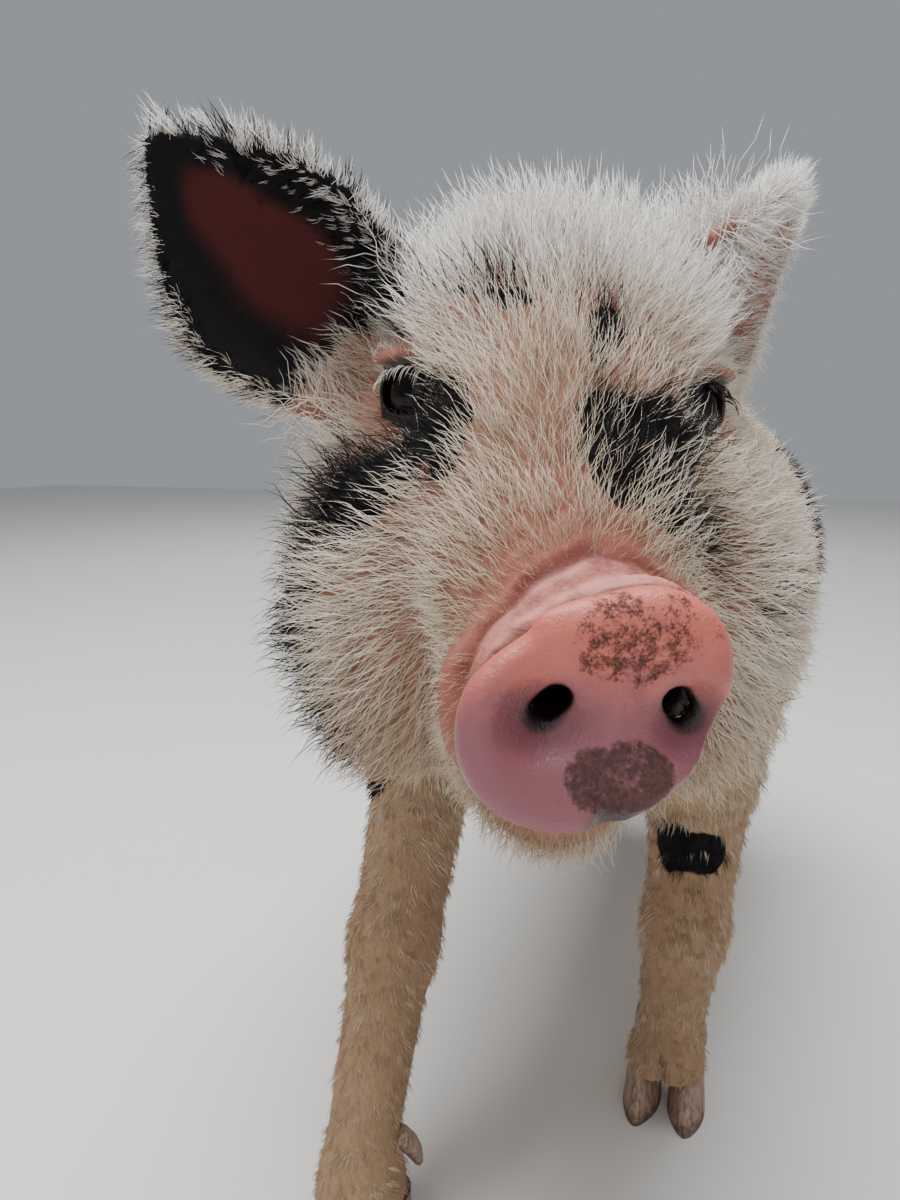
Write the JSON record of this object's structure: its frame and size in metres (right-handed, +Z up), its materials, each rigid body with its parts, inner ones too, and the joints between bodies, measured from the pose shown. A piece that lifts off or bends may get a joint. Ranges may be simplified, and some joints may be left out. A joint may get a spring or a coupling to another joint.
{
  "type": "kunekune piglet",
  "caption": "Still, life-size kunekune piglet standing with one front foot ahead, head turned a little, upright ears and a round snout disc.",
  "frame": {"origin": "on the floor under the middle of the bounding box", "axes": "+Z up; the pig faces -Y; +X is the pig's own left side; Y runs along the body"},
  "size_m": [0.1866, 0.4834, 0.3439],
  "materials": {
    "coat": "short straight hair over pale skin, with black patches",
    "ear": "thin skin with a fringe of pale hair",
    "snout": "bare damp skin, pink with brown specks",
    "claw": "dull horn",
    "eye": "wet and near black"
  },
  "bodies": {
    "root": {"claw_front_left_inner": "claw", "claw_front_left_outer": "claw", "claw_front_right_inner": "claw", "claw_front_right_outer": "claw", "claw_hind_left_inner": "claw", "claw_hind_left_outer": "claw", "claw_hind_right_inner": "claw", "claw_hind_right_outer": "claw", "dewclaw_front_left_inner": "claw", "dewclaw_front_left_outer": "claw", "dewclaw_front_right_inner": "claw", "dewclaw_front_right_outer": "claw", "dewclaw_hind_left_inner": "claw", "dewclaw_hind_left_outer": "claw", "dewclaw_hind_right_inner": "claw", "dewclaw_hind_right_outer": "claw", "ear_left": "ear", "ear_right": "ear", "eye_left": "eye", "eye_right": "eye", "head": "coat", "leg_front_left": "coat", "leg_front_right": "coat", "leg_hind_left": "coat", "leg_hind_right": "coat", "neck": "coat", "snout": "snout", "tail": "coat", "torso": "coat"}
  },
  "joints": []
}
